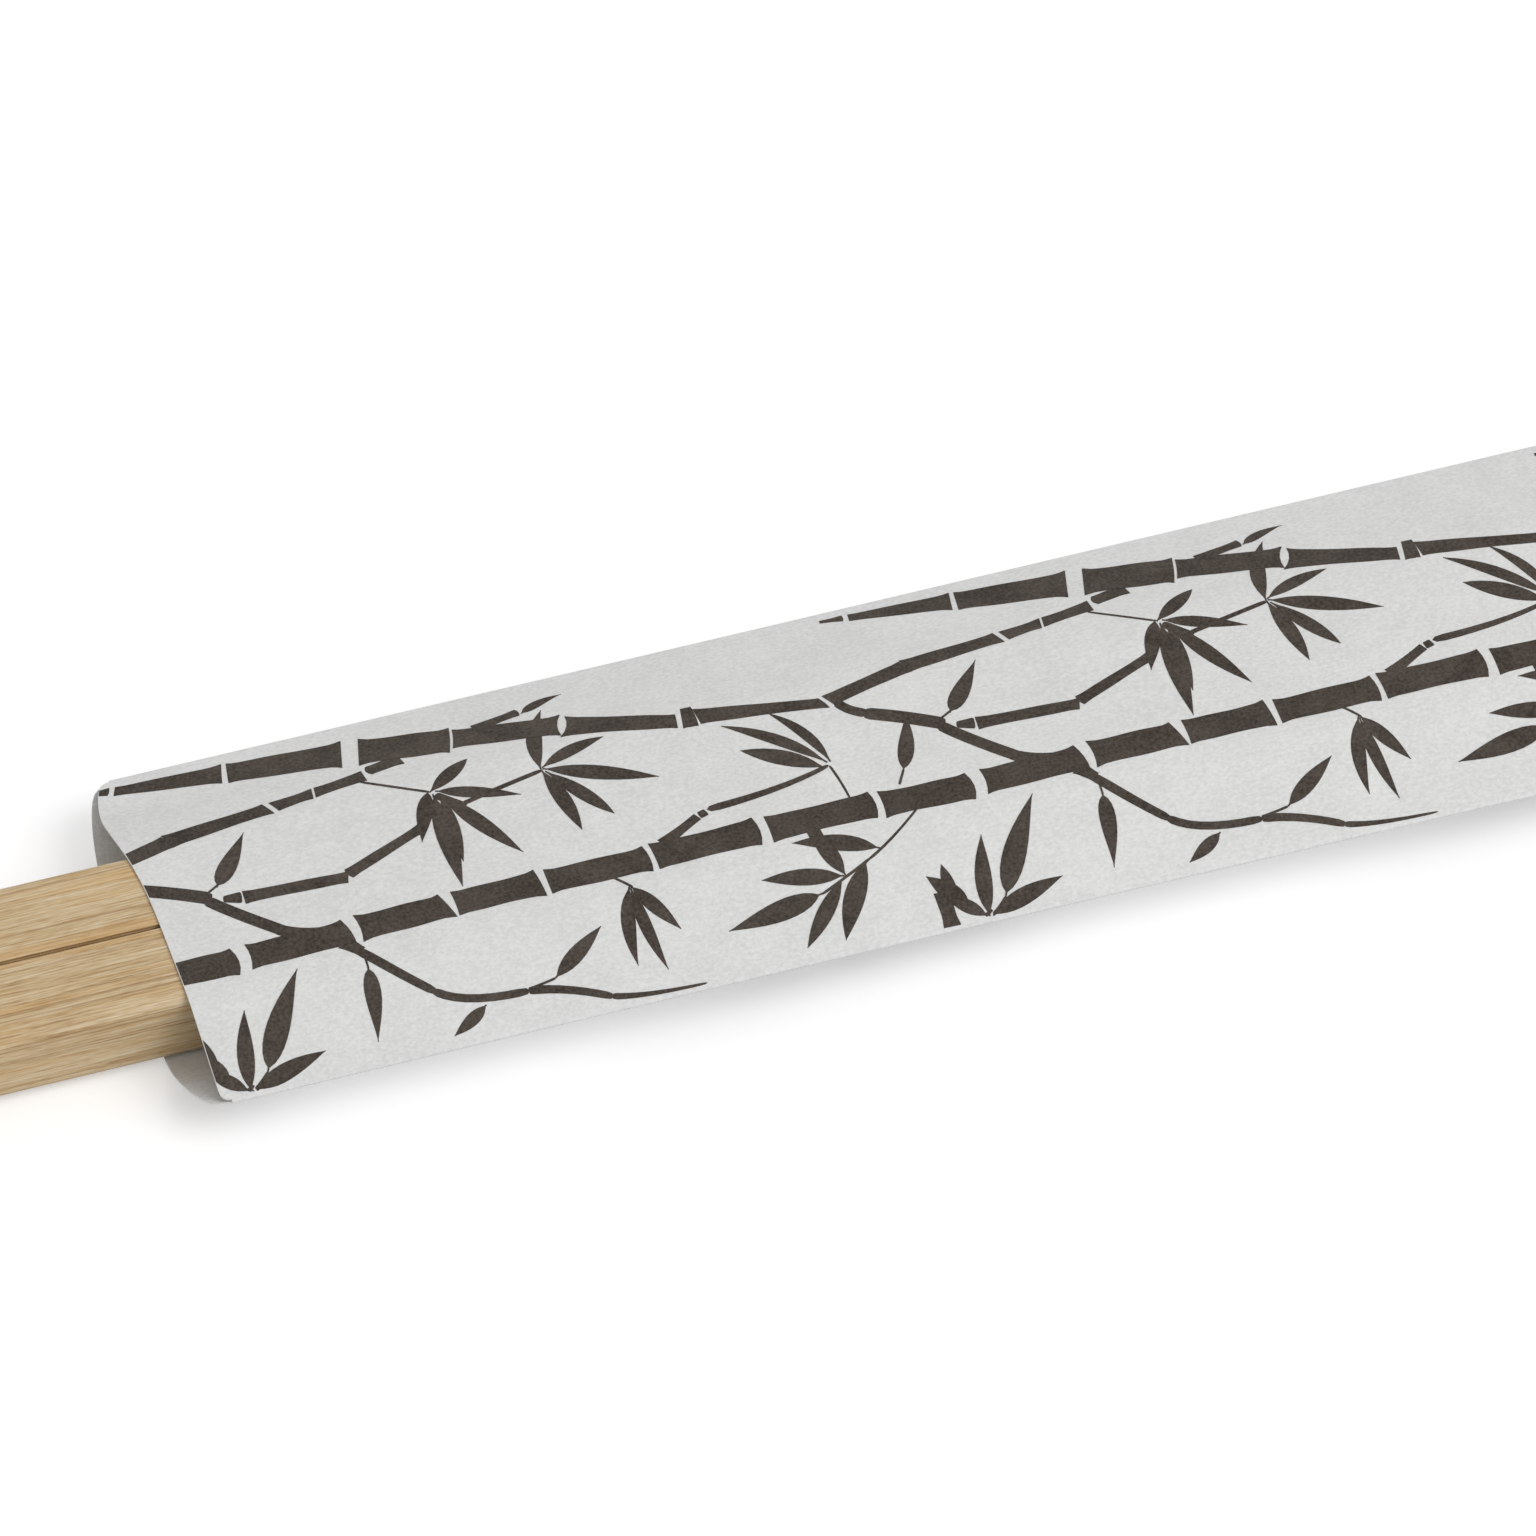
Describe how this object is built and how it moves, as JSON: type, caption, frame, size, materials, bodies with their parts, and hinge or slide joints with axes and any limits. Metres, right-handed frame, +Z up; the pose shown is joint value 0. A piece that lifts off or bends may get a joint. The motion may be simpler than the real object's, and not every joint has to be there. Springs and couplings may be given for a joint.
{
  "type": "bamboo chopsticks",
  "caption": "Disposable snap-apart bamboo chopsticks, joined at the head and tapered to rounded tips, in a folded paper half sleeve printed with bamboo canes.",
  "frame": {"origin": "under the middle of the whole object, on the surface that it lies on", "axes": "+X along the sticks from the head to the closed end of the sleeve, +Y across them, +Z up out of the printed front panel"},
  "size_m": [0.238, 0.0272, 0.0059],
  "materials": {
    "bamboo": "plain planed bamboo, unvarnished",
    "paper": "white uncoated paper with a dark grey print"
  },
  "bodies": {
    "root": {"chopsticks": "bamboo", "paper_sleeve": "paper"}
  },
  "joints": []
}
